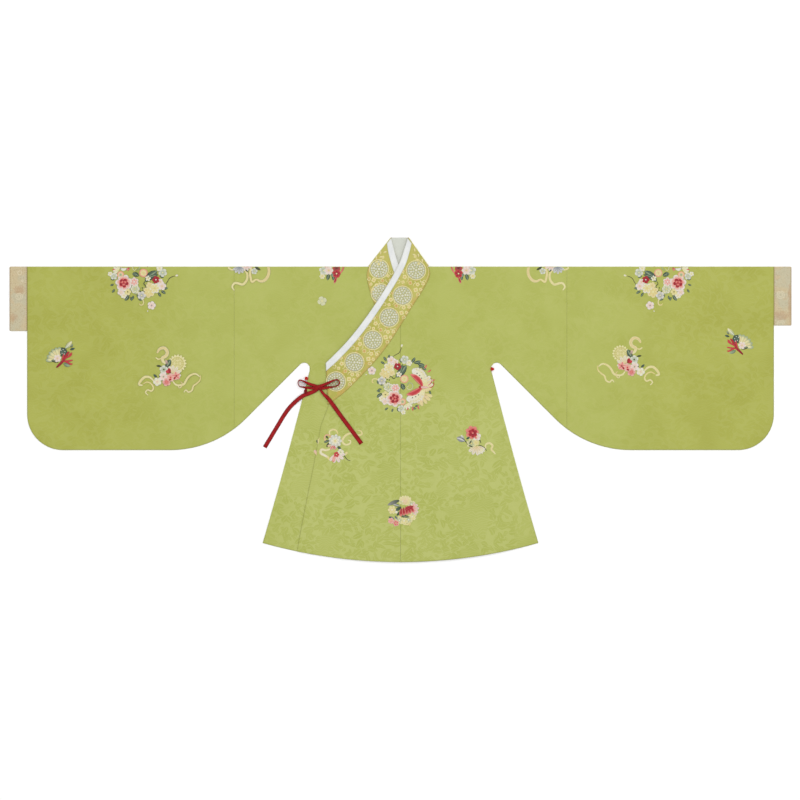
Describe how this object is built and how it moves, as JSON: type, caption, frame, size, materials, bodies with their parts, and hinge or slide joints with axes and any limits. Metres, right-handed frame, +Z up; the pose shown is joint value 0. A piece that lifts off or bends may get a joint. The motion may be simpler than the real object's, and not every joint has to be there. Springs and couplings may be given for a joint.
{
  "type": "hanfu robe",
  "caption": "Short silk robe with a crossed collar, white guard, wide curved sleeves with brocade cuffs and a red ribbon tie, laid out flat.",
  "frame": {"origin": "middle of the robe's outline, on the surface that it lies on", "axes": "+X along the sleeves towards the wearer's left, +Y from the hem to the neck, +Z up from the surface, through the back and then the front"},
  "size_m": [2.1896, 0.9088, 0.0133],
  "materials": {
    "green_silk": "patterned silk with a soft sheen",
    "collar_brocade": "gold brocade with pale roundels",
    "cuff_brocade": "beige brocade",
    "white_cloth": "plain white silk",
    "red_ribbon": "red satin ribbon",
    "embroidery": "satin stitch in many colours"
  },
  "bodies": {
    "root": {"body_left": "green_silk", "body_right": "green_silk", "sleeve_left": "green_silk", "sleeve_right": "green_silk", "cuff_left": "cuff_brocade", "cuff_right": "cuff_brocade", "overlap_outer": "green_silk", "overlap_under": "green_silk", "collar": "collar_brocade", "collar_lining": "white_cloth", "guard_outer": "white_cloth", "guard_under": "white_cloth", "tie_knot": "red_ribbon", "tie_loop_left": "red_ribbon", "tie_loop_right": "red_ribbon", "tie_tail_left": "red_ribbon", "tie_tail_right": "red_ribbon", "side_tack_left": "red_ribbon", "side_tack_right": "red_ribbon"}
  },
  "joints": []
}
